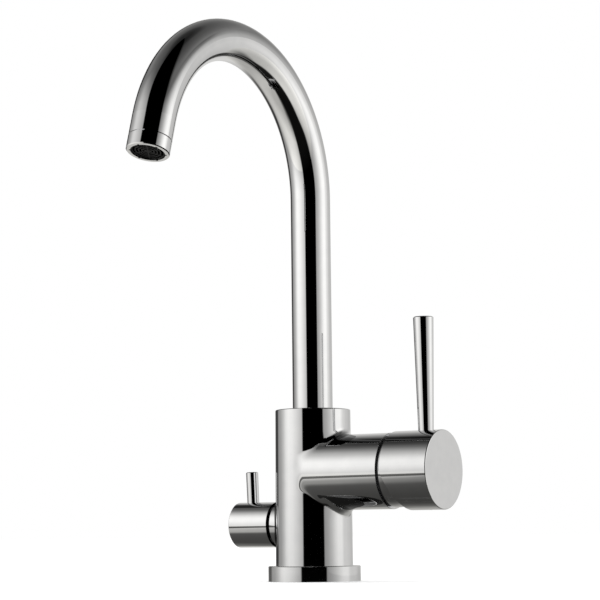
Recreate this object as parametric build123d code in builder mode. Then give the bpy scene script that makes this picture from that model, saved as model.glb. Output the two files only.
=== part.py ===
"""A kitchen mixer tap with a swivelling bent spout, a side lever and a small shut-off knob for an appliance.

Millimetres and degrees. The origin is the centre of the base on the worktop, +Z is up, the spout points
along -Y, the side branch with the lever along +X and the shut-off knob along -X.
"""
from math import asin, cos, degrees, radians, sin, sqrt, tan
import os

from build123d import *

# Driving dimensions

# Base ring and its gasket
base_ring_radius = 27.5
base_ring_height = 9.5
base_ring_bevel = 0.4
base_spigot_radius = 20.0
base_spigot_recess = 1.0
gasket_radius = 23.6
gasket_width = 3.0
gasket_thickness = 2.0

# Body casting
body_foot_radius = 23.0
body_top_radius = 22.5
body_height = 102.0
body_edge_radius = 0.8
crotch_radius = 4.5

# Side branch
branch_height = 64.2
branch_radius = 22.2
branch_reach = 54.8
branch_edge_bevel = 0.3

# Spout
tube_radius = 12.0
tube_wall = 1.0
tube_insertion = 5.0
spout_gap = 0.3
spout_bore_depth = 26.0
arch_start_height = 228.7
arch_radius = 81.5
arch_sweep = 163.6
nose_length = 11.5
spout_swing = 60.0
foot_lift = 1.0
foot_bore_radius = 8.0
foot_spigot_length = 7.0

# Spout seals, bearing rings and lock screw
o_ring_thickness = 2.0
o_ring_heights = (5.5, 9.0)
slip_ring_heights = (1.2, 16.6)
slip_ring_width = 2.2
slip_ring_thickness = 1.8
lock_height = 12.6
lock_screw_radius = 2.1
lock_tip_radius = 1.5
lock_tip_length = 3.0
lock_groove_depth = 1.6
lock_groove_spare = 1.0
lock_screw_length = 8.0
hex_key_radius = 1.2
hex_key_depth = 2.0

# Aerator
aerator_height = 8.3
aerator_seam_bevel = 0.6
aerator_rim = 2.4
aerator_rim_bevel = 0.5
aerator_recess = 0.8
aerator_insert_length = 6.6
aerator_insert_wall = 1.0
aerator_sleeve_length = 7.5
aerator_sleeve_wall = 2.2
aerator_ring_radii = (1.9, 3.7, 5.5, 7.3)
aerator_ring_width = 0.7
aerator_ring_height = 3.2
aerator_spokes = 6
aerator_key_notches = 6
aerator_key_angle = 34.0
aerator_key_notch_width = 1.2
aerator_key_notch_reach = 0.7
aerator_key_notch_depth = 1.6
screen_thickness = 0.6
screen_hole_radius = 0.8
screen_circle_radii = (2.6, 5.0, 7.2)
screen_circle_holes = (6, 12, 18)
washer_thickness = 1.6
washer_width = 1.8

# Handle and lever
handle_gap = 2.9
handle_radius = 23.0
handle_length = 30.6
handle_edge_radius = 0.6
handle_inner_bevel = 0.4
handle_tilt = 20.0
skirt_cut_angle = 22.5
skirt_wall = 1.4
hub_radius = 7.0
hub_inset = 12.0
socket_floor = 3.8
lever_inset = 11.3
lever_lean = 0.45
lever_rise = 88.8
lever_top_radius = 6.0
lever_foot_radius = 4.5
lever_top_bevel = 0.5
lever_seat_rise = 19.5
lever_spigot_radius = 3.0
lever_spigot_length = 8.0
handle_screw_inset = 8.0
handle_screw_radius = 2.1
handle_screw_length = 8.0

# Mixing cartridge
cartridge_radius = 17.5
cartridge_base_thickness = 4.0
cartridge_bore_radius = 13.0
cartridge_shoulder = 17.0
cartridge_neck_radius = 14.8
cartridge_length = 28.0
cartridge_lip = 2.0
cartridge_lip_radius = 11.5
pivot_setback = 25.5
pivot_reach = 2.0
port_seal_squeeze = 0.5
port_seal_depth = 1.0
port_seal_width = 1.2
inlet_port_radius = 1.8
inlet_port_side = 4.5
inlet_port_rise = 5.0
outlet_port_radius = 3.0
outlet_port_drop = 5.0
fixed_disc_thickness = 3.5
moving_disc_thickness = 3.5
moving_disc_radius = 9.0
mixing_pocket_radius = 5.4
mixing_pocket_drop = 2.8
mixing_pocket_depth = 2.0
driver_thickness = 4.6
driver_radius = 8.6
driver_peg_radius = 1.1
driver_peg_rise = 6.0
driver_peg_length = 1.2
driver_rib_side = 6.0
driver_rib_width = 2.0
driver_rib_length = 8.0
driver_rib_height = 1.5
turntable_end = 6.0
turntable_slot_length = 18.0
stem_width = 7.0
stem_eye_radius = 5.2
stem_arm = 10.5
stem_arm_radius = 2.2
stem_ball_radius = 3.0
pivot_pin_radius = 2.0
pivot_pin_inset = 0.6
nut_radius = 19.4
nut_bore_clearance = 0.2
nut_mouth_depth = 8.0
nut_thread_radius = 18.4
nut_thread_length = 7.2
nut_slots = 4
nut_slot_angle = 45.0
nut_slot_width = 4.0
nut_slot_depth = 2.5

# Dome and black ring between branch and handle
gap_ring_radius = 20.5
gap_ring_thickness = 1.8
dome_clearance = 0.3
dome_wall = 2.4
dome_opening_radius = 15.0

# Shut-off valve and knob
knob_height = 33.9
boss_reach = 23.1
knob_radius = 13.6
knob_gap = 2.4
knob_length = 27.1
knob_bevel = 0.4
knob_recess_radius = 12.2
knob_recess_depth = 4.0
knob_socket_depth = 18.0
pin_setback = 17.1
pin_lean = 2.4
pin_rise = 31.9
pin_top_radius = 3.7
pin_foot_radius = 3.6
pin_top_bevel = 0.4
pin_seat_rise = 11.6
pin_spigot_radius = 2.0
valve_radius = 9.0
valve_seat_depth = 17.0
valve_waist_radius = 8.1
valve_waist_length = 7.0
valve_waist_inset = 3.4
valve_window_radius = 1.8
valve_window_inset = 0.4
valve_cavity_radius = 7.2
valve_cavity_depth = 10.0
valve_hex_flats = 15.0
valve_hex_length = 4.6
valve_seal_width = 2.4
valve_seal_thickness = 2.0
valve_disc_thickness = 2.2
valve_port_radius = 2.0
valve_port_side = 4.4
valve_o_ring_thickness = 1.6
valve_o_ring_setback = 3.0
spindle_radius = 4.0
spindle_collar_radius = 6.0
spindle_collar_length = 1.8
spindle_tab_width = 3.0
spindle_tab_length = 1.4
spindle_o_ring_thickness = 1.6
spindle_o_ring_setback = 4.0
clip_thickness = 0.8
clip_width = 1.6

# Holes in the underside and waterways
supply_thread_radius = 4.46
supply_thread_depth = 14.0
supply_ahead = 9.0
supply_side = 7.5
appliance_back = 12.0
stud_thread_radius = 3.32
stud_thread_depth = 16.0
stud_back = 3.0
stud_side = 12.0
waterway_radius = 3.0
cross_drill_radius = 2.2
riser_radius = 5.0

# Fits
seat_clearance = 0.1
running_clearance = 0.05
disc_film = 0.02
rib_clearance = 0.15

# Places worked out from the driving dimensions

spout_bore_radius = tube_radius + spout_gap
spout_bore_floor = body_height - spout_bore_depth
foot_bottom = spout_bore_floor + foot_lift
tube_bottom = body_height - tube_insertion
tube_bore_radius = tube_radius - tube_wall

nose_direction = Vector(0, -sin(radians(arch_sweep)), cos(radians(arch_sweep)))
nose_start = Vector(
    0,
    -arch_radius * (1 - cos(radians(arch_sweep))),
    arch_start_height + arch_radius * sin(radians(arch_sweep)),
)
nose_plane = Plane(nose_start, x_dir=(1, 0, 0), z_dir=nose_direction)
seam_plane = nose_plane.offset(nose_length)
outlet_plane = seam_plane.offset(aerator_height)
into_spout = Plane(outlet_plane.origin, x_dir=(1, 0, 0), z_dir=-nose_direction)

handle_start = branch_reach + handle_gap
handle_face = handle_start + handle_length
pivot_x = branch_reach + pivot_reach
skirt_bore_radius = handle_radius - skirt_wall
dome_radius = skirt_bore_radius - dome_clearance
lever_x = handle_face - lever_inset
handle_screw_x = handle_face - handle_screw_inset

cartridge_start = pivot_x - pivot_setback
seat_x = cartridge_start - port_seal_squeeze
housing_start = cartridge_start + cartridge_base_thickness
fixed_disc_top = housing_start + fixed_disc_thickness
moving_disc_start = fixed_disc_top + disc_film
driver_start = moving_disc_start + moving_disc_thickness
turntable_start = driver_start + driver_thickness + rib_clearance
housing_end = cartridge_start + cartridge_length
lip_start = housing_end - cartridge_lip
shoulder_x = cartridge_start + cartridge_shoulder
disc_travel = stem_arm * sin(radians(handle_tilt))

valve_seat_x = -boss_reach + valve_seat_depth
knob_start = -boss_reach - knob_gap
pin_x = knob_start - pin_setback
appliance_x = -appliance_back

branch_axis = Axis((0, 0, branch_height), (1, 0, 0))
branch_section = Plane((0, 0, branch_height), x_dir=(1, 0, 0), z_dir=(0, -1, 0))


def across_branch(x):
    """The plane square to the branch at x, with its own x along +Y and its own y along +Z."""
    return Plane((x, 0, branch_height), x_dir=(0, 1, 0), z_dir=(1, 0, 0))


def across_knob(x):
    """The plane square to the shut-off valve at x, facing the knob's end, with its own y along +Z."""
    return Plane((x, 0, knob_height), x_dir=(0, -1, 0), z_dir=(-1, 0, 0))


def level(z):
    """The level plane at height z."""
    return Plane.XY.offset(z)


def keep(builder, name):
    """Labels a finished piece and writes it as one file."""
    builder.part.label = name
    export_step(builder.part, f"parts/{name}.step")


def sleeve(plane, outer_radius, inner_radius, length):
    """A plain ring or bush that stands on a plane."""
    with BuildPart() as ring:
        with BuildSketch(plane):
            Circle(outer_radius)
            Circle(inner_radius, mode=Mode.SUBTRACT)
        extrude(amount=length)
    return ring


def grub_screw(plane, radius, length):
    """A headless screw with a hexagon socket, whose socket end lies on the plane and faces out of it."""
    with BuildPart() as screw:
        with BuildSketch(plane):
            Circle(radius)
        extrude(amount=-length)
        with BuildSketch(plane):
            RegularPolygon(hex_key_radius, 6)
        extrude(amount=-hex_key_depth, mode=Mode.SUBTRACT)
    return screw


os.makedirs("parts", exist_ok=True)

# Base ring: a turned flange with a groove for the gasket in its underside
gasket_inner_radius = gasket_radius - gasket_width / 2
gasket_outer_radius = gasket_radius + gasket_width / 2
with BuildPart() as base_ring:
    with BuildSketch(level(0)):
        Circle(base_ring_radius)
        Circle(base_spigot_radius + seat_clearance, mode=Mode.SUBTRACT)
    extrude(amount=base_ring_height)
    with BuildSketch(level(0)):
        Circle(gasket_outer_radius + seat_clearance)
        Circle(gasket_inner_radius - seat_clearance, mode=Mode.SUBTRACT)
    extrude(amount=gasket_thickness, mode=Mode.SUBTRACT)
    top_rim = base_ring.edges().filter_by(GeomType.CIRCLE).group_by(Axis.Z)[-1].sort_by(SortBy.RADIUS)[-1]
    chamfer(top_rim, length=base_ring_bevel)
keep(base_ring, "base_ring")

base_gasket = sleeve(level(0), gasket_outer_radius, gasket_inner_radius, gasket_thickness)
keep(base_gasket, "base_gasket")

# Body: a casting with a slight taper, the side branch, the boss for the shut-off valve, and its bores
valve_bore_radius = valve_radius + seat_clearance
cartridge_chamber_radius = cartridge_radius + seat_clearance
branch_mouth_radius = nut_radius + seat_clearance
port_height = branch_height + inlet_port_rise
outlet_height = branch_height - outlet_port_drop
with BuildPart() as body_casting:
    with BuildSketch(Plane.XZ):
        with BuildLine():
            Polyline(
                (0, base_spigot_recess),
                (base_spigot_radius, base_spigot_recess),
                (base_spigot_radius, base_ring_height),
                (body_foot_radius, base_ring_height),
                (body_top_radius, body_height),
                (0, body_height),
                close=True,
            )
        make_face()
    revolve(axis=Axis.Z)
    top_edge = body_casting.edges().filter_by(GeomType.CIRCLE).sort_by(Axis.Z)[-1]
    fillet(top_edge, radius=body_edge_radius)
    with BuildSketch(across_branch(0)):
        Circle(branch_radius)
    extrude(amount=branch_reach)
    crotch = body_casting.edges().filter_by(GeomType.BSPLINE)
    fillet(crotch, radius=crotch_radius)
    branch_rim = body_casting.edges().filter_by(GeomType.CIRCLE).sort_by(Axis.X)[-1]
    chamfer(branch_rim, length=branch_edge_bevel)
    with BuildSketch(across_knob(0)):
        Circle(knob_radius)
    extrude(amount=boss_reach)
    # Spout bore, with the riser that feeds it
    with BuildSketch(level(body_height)):
        Circle(spout_bore_radius)
    extrude(amount=-spout_bore_depth, mode=Mode.SUBTRACT)
    with BuildSketch(level(spout_bore_floor)):
        Circle(riser_radius)
    extrude(amount=outlet_height - spout_bore_floor - riser_radius, mode=Mode.SUBTRACT)
    # Cartridge chamber and the wider mouth for the nut
    with BuildSketch(across_branch(branch_reach)):
        Circle(cartridge_chamber_radius)
    extrude(amount=seat_x - branch_reach, mode=Mode.SUBTRACT)
    with BuildSketch(across_branch(branch_reach)):
        Circle(branch_mouth_radius)
    extrude(amount=-nut_mouth_depth, mode=Mode.SUBTRACT)
    # Cross drillings from the cartridge seat to the supplies and to the riser
    with BuildSketch(across_branch(seat_x)):
        with Locations((inlet_port_side, inlet_port_rise), (-inlet_port_side, inlet_port_rise)):
            Circle(cross_drill_radius)
    extrude(amount=supply_ahead - seat_x, mode=Mode.SUBTRACT)
    with BuildSketch(across_branch(seat_x)):
        with Locations((0, -outlet_port_drop)):
            Circle(outlet_port_radius)
    extrude(amount=-seat_x, mode=Mode.SUBTRACT)
    # Valve bore, and its drilling from one supply
    with BuildSketch(across_knob(-boss_reach)):
        Circle(valve_bore_radius)
    extrude(amount=-valve_seat_depth, mode=Mode.SUBTRACT)
    with BuildSketch(across_knob(valve_seat_x)):
        with Locations((-valve_port_side, 0)):
            Circle(valve_port_radius)
    extrude(amount=valve_seat_x - supply_ahead, mode=Mode.SUBTRACT)
    # Threaded holes in the underside, and the supply and appliance waterways above them
    with BuildSketch(level(base_spigot_recess)):
        with Locations((supply_ahead, supply_side), (supply_ahead, -supply_side), (appliance_x, 0)):
            Circle(supply_thread_radius)
    extrude(amount=supply_thread_depth, mode=Mode.SUBTRACT)
    with BuildSketch(level(base_spigot_recess)):
        with Locations((supply_ahead, supply_side), (supply_ahead, -supply_side)):
            Circle(waterway_radius)
    extrude(amount=port_height - base_spigot_recess, mode=Mode.SUBTRACT)
    with BuildSketch(level(base_spigot_recess)):
        with Locations((appliance_x, 0)):
            Circle(waterway_radius)
    extrude(amount=knob_height - base_spigot_recess, mode=Mode.SUBTRACT)
    with BuildSketch(level(base_spigot_recess)):
        with Locations((-stud_back, -stud_side)):
            Circle(stud_thread_radius)
    extrude(amount=stud_thread_depth, mode=Mode.SUBTRACT)
    # Hole for the spout's lock screw, in the back
    lock_z = foot_bottom + lock_height
    back = Plane((0, 0, lock_z), x_dir=(-1, 0, 0), z_dir=(0, 1, 0))
    with BuildSketch(back.offset(tube_radius)):
        Circle(lock_screw_radius + seat_clearance)
    extrude(amount=body_foot_radius, mode=Mode.SUBTRACT)
keep(body_casting, "body_casting")

# Lock screw: its tip runs in the groove of the spout's foot
lock_tip_end = tube_radius - lock_groove_depth + seat_clearance
lock_shoulder = lock_tip_end + lock_tip_length
lock_screw = grub_screw(back.offset(lock_shoulder + lock_screw_length), lock_screw_radius, lock_screw_length)
with BuildPart() as spout_lock_screw:
    add(lock_screw.part)
    with BuildSketch(back.offset(lock_tip_end)):
        Circle(lock_tip_radius)
    extrude(amount=lock_tip_length)
keep(spout_lock_screw, "spout_lock_screw")

# Spout tube: riser, arch and nose of one tube
arch_axis = Axis((0, -arch_radius, arch_start_height), (1, 0, 0))
with BuildPart() as spout_tube:
    with BuildSketch(level(tube_bottom)):
        Circle(tube_radius)
        Circle(tube_bore_radius, mode=Mode.SUBTRACT)
    extrude(amount=arch_start_height - tube_bottom)
    with BuildSketch(level(arch_start_height)):
        Circle(tube_radius)
        Circle(tube_bore_radius, mode=Mode.SUBTRACT)
    revolve(axis=arch_axis, revolution_arc=arch_sweep)
    with BuildSketch(nose_plane):
        Circle(tube_radius)
        Circle(tube_bore_radius, mode=Mode.SUBTRACT)
    extrude(amount=nose_length)
keep(spout_tube, "spout_tube")

# Spout foot: a turned bush brazed into the tube, with grooves for seals, bearing rings and the lock screw
o_ring_minor = o_ring_thickness / 2
o_ring_major = spout_bore_radius - running_clearance - o_ring_minor
slip_outer_radius = spout_bore_radius - running_clearance
slip_inner_radius = slip_outer_radius - slip_ring_thickness
lock_groove_reach = spout_swing + degrees(asin(lock_tip_radius / lock_tip_end)) + lock_groove_spare
lock_groove_height = 2 * (lock_tip_radius + seat_clearance)
with BuildPart() as spout_foot:
    with BuildSketch(level(foot_bottom)):
        Circle(tube_radius)
    extrude(amount=tube_bottom - foot_bottom)
    with BuildSketch(level(tube_bottom)):
        Circle(tube_bore_radius - running_clearance)
    extrude(amount=foot_spigot_length)
    with BuildSketch(level(foot_bottom)):
        Circle(foot_bore_radius)
    extrude(amount=tube_bottom + foot_spigot_length - foot_bottom, mode=Mode.SUBTRACT)
    for height in o_ring_heights:
        with BuildSketch(level(foot_bottom + height - o_ring_minor)):
            Circle(tube_radius)
            Circle(o_ring_major - o_ring_minor, mode=Mode.SUBTRACT)
        extrude(amount=o_ring_thickness, mode=Mode.SUBTRACT)
    for height in slip_ring_heights:
        with BuildSketch(level(foot_bottom + height)):
            Circle(tube_radius)
            Circle(slip_inner_radius, mode=Mode.SUBTRACT)
        extrude(amount=slip_ring_width, mode=Mode.SUBTRACT)
    with BuildSketch(Plane.YZ):
        with Locations((tube_radius - lock_groove_depth / 2, lock_z)):
            Rectangle(lock_groove_depth, lock_groove_height)
    revolve(axis=Axis.Z, revolution_arc=lock_groove_reach, mode=Mode.SUBTRACT)
    with BuildSketch(Plane.YZ):
        with Locations((tube_radius - lock_groove_depth / 2, lock_z)):
            Rectangle(lock_groove_depth, lock_groove_height)
    revolve(axis=Axis.Z, revolution_arc=-lock_groove_reach, mode=Mode.SUBTRACT)
keep(spout_foot, "spout_foot")

with BuildPart() as spout_o_rings:
    with Locations([(0, 0, foot_bottom + height) for height in o_ring_heights]):
        Torus(o_ring_major, o_ring_minor)
keep(spout_o_rings, "spout_o_rings")

with BuildPart() as spout_slip_rings:
    for height in slip_ring_heights:
        with BuildSketch(level(foot_bottom + height)):
            Circle(slip_outer_radius)
            Circle(slip_inner_radius, mode=Mode.SUBTRACT)
        extrude(amount=slip_ring_width)
keep(spout_slip_rings, "spout_slip_rings")

# Aerator housing: the outlet ring, with a sleeve that screws into the tube and notches for its key
aerator_cavity_radius = tube_radius - aerator_rim
washer_end = aerator_recess + aerator_insert_length + washer_thickness
sleeve_radius = tube_bore_radius - running_clearance
sleeve_end = aerator_height + aerator_sleeve_length
with BuildPart() as aerator_housing:
    with BuildSketch(into_spout):
        Circle(tube_radius)
    extrude(amount=aerator_height)
    housing_rims = aerator_housing.edges().filter_by(GeomType.CIRCLE)
    housing_rims = housing_rims.sort_by(Axis(into_spout.origin, into_spout.z_dir))
    chamfer(housing_rims[0], length=aerator_rim_bevel)
    chamfer(housing_rims[-1], length=aerator_seam_bevel)
    with BuildSketch(into_spout.offset(aerator_height)):
        Circle(sleeve_radius)
    extrude(amount=aerator_sleeve_length)
    with BuildSketch(into_spout):
        Circle(aerator_cavity_radius)
    extrude(amount=washer_end, mode=Mode.SUBTRACT)
    with BuildSketch(into_spout):
        Circle(sleeve_radius - aerator_sleeve_wall)
    extrude(amount=sleeve_end, mode=Mode.SUBTRACT)
    with BuildSketch(into_spout):
        with PolarLocations(aerator_cavity_radius, aerator_key_notches, start_angle=aerator_key_angle):
            Rectangle(2 * aerator_key_notch_reach, aerator_key_notch_width)
    extrude(amount=aerator_key_notch_depth, mode=Mode.SUBTRACT)
keep(aerator_housing, "aerator_housing")

# Aerator insert: a moulded ring with concentric vanes on spokes
insert_radius = aerator_cavity_radius - running_clearance
insert_bore_radius = insert_radius - aerator_insert_wall
insert_plane = into_spout.offset(aerator_recess)
with BuildPart() as aerator_insert:
    with BuildSketch(insert_plane):
        Circle(insert_radius)
        Circle(insert_bore_radius, mode=Mode.SUBTRACT)
    extrude(amount=aerator_insert_length)
    for radius in aerator_ring_radii:
        with BuildSketch(insert_plane):
            Circle(radius)
            Circle(radius - aerator_ring_width, mode=Mode.SUBTRACT)
        extrude(amount=aerator_ring_height)
    with BuildSketch(insert_plane):
        with PolarLocations(insert_bore_radius / 2, aerator_spokes):
            Rectangle(insert_bore_radius + aerator_insert_wall, aerator_ring_width)
    extrude(amount=aerator_ring_height)
keep(aerator_insert, "aerator_insert")

with BuildPart() as aerator_screen:
    with BuildSketch(insert_plane.offset(aerator_ring_height)):
        Circle(insert_bore_radius - running_clearance)
        for circle_radius, holes in zip(screen_circle_radii, screen_circle_holes):
            with PolarLocations(circle_radius, holes):
                Circle(screen_hole_radius, mode=Mode.SUBTRACT)
    extrude(amount=screen_thickness)
keep(aerator_screen, "aerator_screen")

washer_plane = insert_plane.offset(aerator_insert_length)
aerator_washer = sleeve(washer_plane, insert_radius, insert_radius - washer_width, washer_thickness)
keep(aerator_washer, "aerator_washer")

# Cartridge base: the moulded plate with the three ports and their seals
inlet_ports = [(inlet_port_side, inlet_port_rise), (-inlet_port_side, inlet_port_rise)]
outlet_ports = [(0, -outlet_port_drop)]
port_groups = ((inlet_ports, inlet_port_radius), (outlet_ports, outlet_port_radius))
with BuildPart() as cartridge_base:
    with BuildSketch(across_branch(cartridge_start)):
        Circle(cartridge_radius)
    extrude(amount=cartridge_base_thickness)
    for ports, radius in port_groups:
        with BuildSketch(across_branch(cartridge_start)):
            with Locations(ports):
                Circle(radius)
        extrude(amount=cartridge_base_thickness, mode=Mode.SUBTRACT)
        with BuildSketch(across_branch(cartridge_start)):
            with Locations(ports):
                Circle(radius + port_seal_width)
        extrude(amount=port_seal_depth, mode=Mode.SUBTRACT)
keep(cartridge_base, "cartridge_base")

with BuildPart() as cartridge_port_seals:
    for ports, radius in port_groups:
        with BuildSketch(across_branch(seat_x)):
            with Locations(ports):
                Circle(radius + port_seal_width)
                Circle(radius, mode=Mode.SUBTRACT)
        extrude(amount=port_seal_squeeze + port_seal_depth)
keep(cartridge_port_seals, "cartridge_port_seals")

# Cartridge housing: the moulded sleeve, with a shoulder for the nut and a lip that keeps the turntable in
housing_bore_radius = cartridge_bore_radius + running_clearance
with BuildPart() as cartridge_housing:
    with BuildSketch(branch_section):
        with BuildLine():
            Polyline(
                (housing_start, housing_bore_radius),
                (housing_start, cartridge_radius),
                (shoulder_x, cartridge_radius),
                (shoulder_x, cartridge_neck_radius),
                (housing_end, cartridge_neck_radius),
                (housing_end, cartridge_lip_radius),
                (lip_start, cartridge_lip_radius),
                (lip_start, housing_bore_radius),
                close=True,
            )
        make_face()
    revolve(axis=branch_axis)
keep(cartridge_housing, "cartridge_housing")

with BuildPart() as fixed_ceramic_disc:
    with BuildSketch(across_branch(housing_start)):
        Circle(cartridge_bore_radius)
        for ports, radius in port_groups:
            with Locations(ports):
                Circle(radius, mode=Mode.SUBTRACT)
    extrude(amount=fixed_disc_thickness)
keep(fixed_ceramic_disc, "fixed_ceramic_disc")

# Moving disc: its pocket joins the ports when the disc slides up
driver_pegs = [(0, driver_peg_rise), (0, -driver_peg_rise)]
with BuildPart() as moving_ceramic_disc:
    with BuildSketch(across_branch(moving_disc_start)):
        Circle(moving_disc_radius)
    extrude(amount=moving_disc_thickness)
    with BuildSketch(across_branch(moving_disc_start)):
        with Locations((0, -mixing_pocket_drop)):
            Circle(mixing_pocket_radius)
    extrude(amount=mixing_pocket_depth, mode=Mode.SUBTRACT)
    with BuildSketch(across_branch(driver_start)):
        with Locations(driver_pegs):
            Circle(driver_peg_radius + running_clearance)
    extrude(amount=-driver_peg_length - running_clearance, mode=Mode.SUBTRACT)
keep(moving_ceramic_disc, "moving_ceramic_disc")

# Disc driver: pegs hold the disc, ribs run in the turntable, and the stem's ball sits in the socket
driver_ribs = [(driver_rib_side, 0), (-driver_rib_side, 0)]
driver_top = driver_start + driver_thickness
ball_x = pivot_x - stem_arm
socket_bottom = ball_x - stem_ball_radius - rib_clearance
with BuildPart() as disc_driver:
    with BuildSketch(across_branch(driver_start)):
        Circle(driver_radius)
    extrude(amount=driver_thickness)
    with BuildSketch(across_branch(driver_start)):
        with Locations(driver_pegs):
            Circle(driver_peg_radius)
    extrude(amount=-driver_peg_length)
    with BuildSketch(across_branch(driver_top)):
        with Locations(driver_ribs):
            Rectangle(driver_rib_width, driver_rib_length)
    extrude(amount=driver_rib_height)
    with BuildSketch(across_branch(driver_top)):
        Circle(stem_ball_radius + rib_clearance)
    extrude(amount=socket_bottom - driver_top, mode=Mode.SUBTRACT)
keep(disc_driver, "disc_driver")

# Turntable: turns in the housing, carries the pivot pin and guides the driver
turntable_shoulder = lip_start - running_clearance
turntable_neck_radius = cartridge_lip_radius - running_clearance
rib_groove_width = driver_rib_width + 2 * rib_clearance
rib_groove_length = driver_rib_length + disc_travel + 2 * rib_clearance
with BuildPart() as cartridge_turntable:
    with BuildSketch(across_branch(turntable_start)):
        Circle(cartridge_bore_radius)
    extrude(amount=turntable_shoulder - turntable_start)
    with BuildSketch(across_branch(turntable_shoulder)):
        Circle(turntable_neck_radius)
    extrude(amount=pivot_x + turntable_end - turntable_shoulder)
    with BuildSketch(across_branch(turntable_start)):
        Rectangle(stem_width + 2 * rib_clearance, turntable_slot_length)
    extrude(amount=pivot_x + turntable_end - turntable_start, mode=Mode.SUBTRACT)
    with BuildSketch(across_branch(turntable_start)):
        for rib_y, rib_z in driver_ribs:
            with Locations((rib_y, rib_z + disc_travel / 2)):
                Rectangle(rib_groove_width, rib_groove_length)
    extrude(amount=driver_rib_height, mode=Mode.SUBTRACT)
    pivot_plane = Plane((pivot_x, 0, branch_height), x_dir=(1, 0, 0), z_dir=(0, -1, 0))
    with BuildSketch(pivot_plane):
        Circle(pivot_pin_radius + running_clearance)
    extrude(amount=cartridge_bore_radius, both=True, mode=Mode.SUBTRACT)
keep(cartridge_turntable, "cartridge_turntable")

pin_half_length = sqrt(turntable_neck_radius**2 - pivot_pin_radius**2) - pivot_pin_inset
with BuildPart() as stem_pivot_pin:
    with BuildSketch(pivot_plane):
        Circle(pivot_pin_radius)
    extrude(amount=pin_half_length, both=True)
keep(stem_pivot_pin, "stem_pivot_pin")

# Lever stem: a square bar with a pivot eye and an arm that ends in a ball
stem_end = handle_face - socket_floor - seat_clearance
with BuildPart() as lever_stem:
    with BuildSketch(pivot_plane):
        Circle(stem_eye_radius)
    extrude(amount=stem_width / 2, both=True)
    with BuildSketch(across_branch(pivot_x)):
        Rectangle(stem_width, stem_width)
    extrude(amount=stem_end - pivot_x)
    with BuildSketch(across_branch(pivot_x)):
        Circle(stem_arm_radius)
    extrude(amount=-stem_arm)
    with Locations((ball_x, 0, branch_height)):
        Sphere(stem_ball_radius)
    with BuildSketch(pivot_plane):
        Circle(pivot_pin_radius + running_clearance)
    extrude(amount=stem_width, both=True, mode=Mode.SUBTRACT)
keep(lever_stem, "lever_stem")

# Cartridge nut: screwed into the branch, with a threaded neck for the dome and slots for its key
nut_bore_radius = cartridge_neck_radius + nut_bore_clearance
nut_end = branch_reach + nut_thread_length
with BuildPart() as cartridge_nut:
    with BuildSketch(across_branch(shoulder_x)):
        Circle(nut_radius)
        Circle(nut_bore_radius, mode=Mode.SUBTRACT)
    extrude(amount=branch_reach - shoulder_x)
    with BuildSketch(across_branch(branch_reach)):
        Circle(nut_thread_radius)
        Circle(nut_bore_radius, mode=Mode.SUBTRACT)
    extrude(amount=nut_thread_length)
    with BuildSketch(across_branch(nut_end)):
        with PolarLocations((nut_thread_radius + nut_bore_radius) / 2, nut_slots, start_angle=nut_slot_angle):
            Rectangle(2 * (nut_thread_radius - nut_bore_radius), nut_slot_width)
    extrude(amount=-nut_slot_depth, mode=Mode.SUBTRACT)
keep(cartridge_nut, "cartridge_nut")

nut_clear_radius = nut_thread_radius + seat_clearance
gap_ring = sleeve(across_branch(branch_reach), gap_ring_radius, nut_clear_radius, gap_ring_thickness)
keep(gap_ring, "gap_ring")

# Dome: a spun ring about the pivot, so that the handle's skirt can tilt over it
dome_start = branch_reach + gap_ring_thickness
dome_inner_radius = dome_radius - dome_wall
dome_set_in = pivot_x - dome_start
opening_angle = asin(dome_opening_radius / dome_radius)
start_angle = asin(dome_set_in / dome_radius)
nut_recess = nut_end + seat_clearance - pivot_x


def on_sphere(radius, angle):
    """A point of the dome's section, at an angle from the branch axis about the pivot."""
    return (pivot_x + radius * cos(angle), radius * sin(angle))


inner_start_radius = sqrt(dome_inner_radius**2 - nut_recess**2)
inner_mid_angle = (opening_angle + asin(inner_start_radius / dome_inner_radius)) / 2
outer_mid_angle = (opening_angle + radians(90)) / 2
with BuildPart() as cartridge_dome:
    with BuildSketch(branch_section):
        with BuildLine():
            outer_foot = (dome_start, dome_radius * cos(start_angle))
            outer_rim = on_sphere(dome_radius, opening_angle)
            inner_rim = on_sphere(dome_inner_radius, opening_angle)
            inner_foot = (pivot_x + nut_recess, inner_start_radius)
            ThreePointArc(outer_foot, on_sphere(dome_radius, outer_mid_angle), outer_rim)
            Line(outer_rim, inner_rim)
            ThreePointArc(inner_rim, on_sphere(dome_inner_radius, inner_mid_angle), inner_foot)
            Polyline(
                inner_foot,
                (pivot_x + nut_recess, nut_clear_radius),
                (dome_start, nut_clear_radius),
                outer_foot,
            )
        make_face()
    revolve(axis=branch_axis)
keep(cartridge_dome, "cartridge_dome")

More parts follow.
